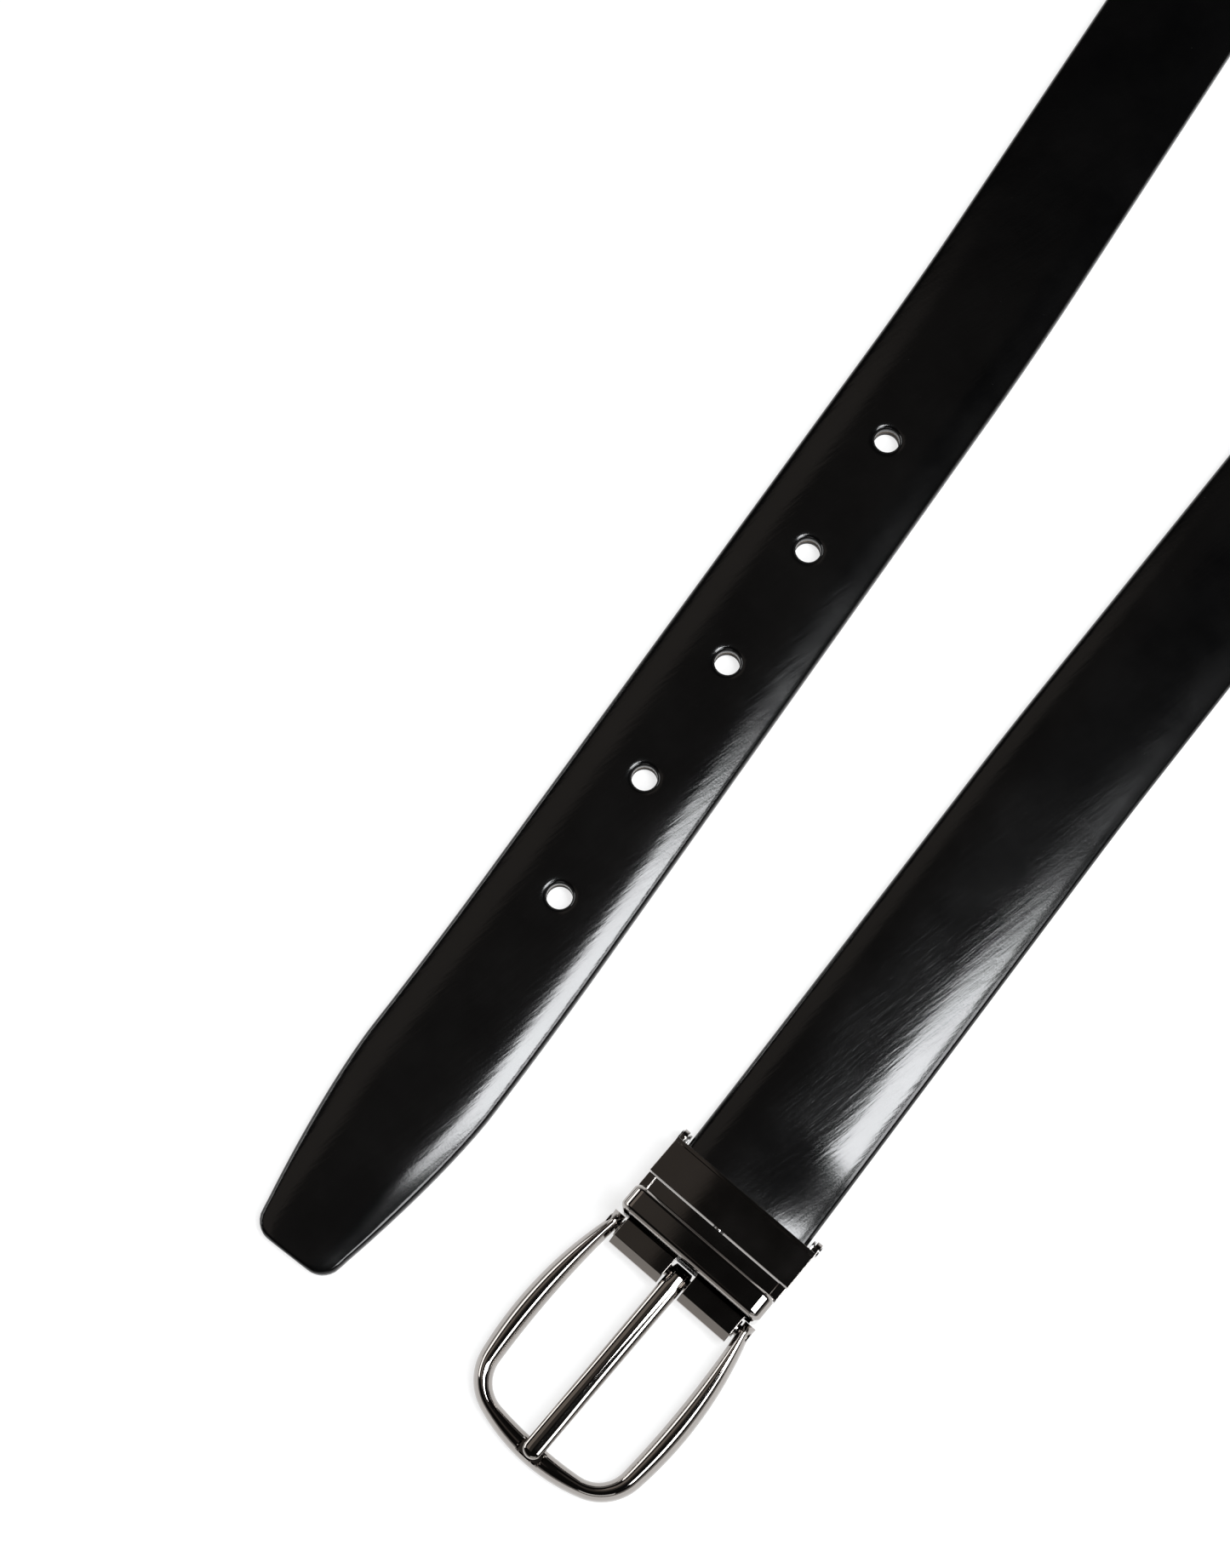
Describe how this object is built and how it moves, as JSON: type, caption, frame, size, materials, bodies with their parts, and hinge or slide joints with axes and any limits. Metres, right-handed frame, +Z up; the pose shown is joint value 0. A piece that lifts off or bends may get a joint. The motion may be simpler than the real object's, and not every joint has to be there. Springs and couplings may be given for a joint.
{
  "type": "leather belt",
  "caption": "Black 30 mm leather dress belt with a punched, tapered tip and a swivelling clamp buckle with keeper, frame and prong.",
  "frame": {"origin": "the middle punched hole's axis at the surface that the belt lies on", "axes": "+X along the line of holes, away from the tip; +Z up, out of the face leather; +Y completes the right-handed frame"},
  "size_m": [0.5483, 0.118, 0.0301],
  "materials": {
    "leather_face": "polished smooth black",
    "leather_core": "raw bonded leather",
    "leather_back": "matt black back leather",
    "nickel": "polished dark nickel",
    "steel": "bright steel"
  },
  "bodies": {
    "strap": {"strap_face": "leather_face", "strap_filler": "leather_core", "strap_lining": "leather_back", "clamp_housing": "nickel", "flap_rivets": "steel", "swivel_stud": "steel", "swivel_spring": "steel"},
    "head": {"buckle_head": "nickel", "keeper_loop": "nickel", "hinge_pin": "steel"},
    "frame": {"buckle_frame": "nickel"},
    "prong": {"prong": "nickel"},
    "flap": {"clamp_flap": "steel"}
  },
  "joints": [
    {"name": "head_twist", "type": "hinge", "parent": "strap", "child": "head", "pos_m": [-0.10885, -0.06205, 0.0036], "axis": [0.9945, -0.1045, 0], "range_deg": [0, 180]},
    {"name": "frame_fold", "type": "hinge", "parent": "head", "child": "frame", "pos_m": [-0.10885, -0.06205, 0.0036], "axis": [0.1045, 0.9945, 0], "range_deg": [-70, 30]},
    {"name": "prong_lift", "type": "hinge", "parent": "frame", "child": "prong", "pos_m": [-0.10885, -0.06205, 0.0036], "axis": [0.1045, 0.9945, 0], "range_deg": [0, 60]},
    {"name": "flap_open", "type": "hinge", "parent": "strap", "child": "flap", "pos_m": [-0.08747, -0.0643, 0.003], "axis": [-0.1045, -0.9945, 0], "range_deg": [0, 75]}
  ]
}
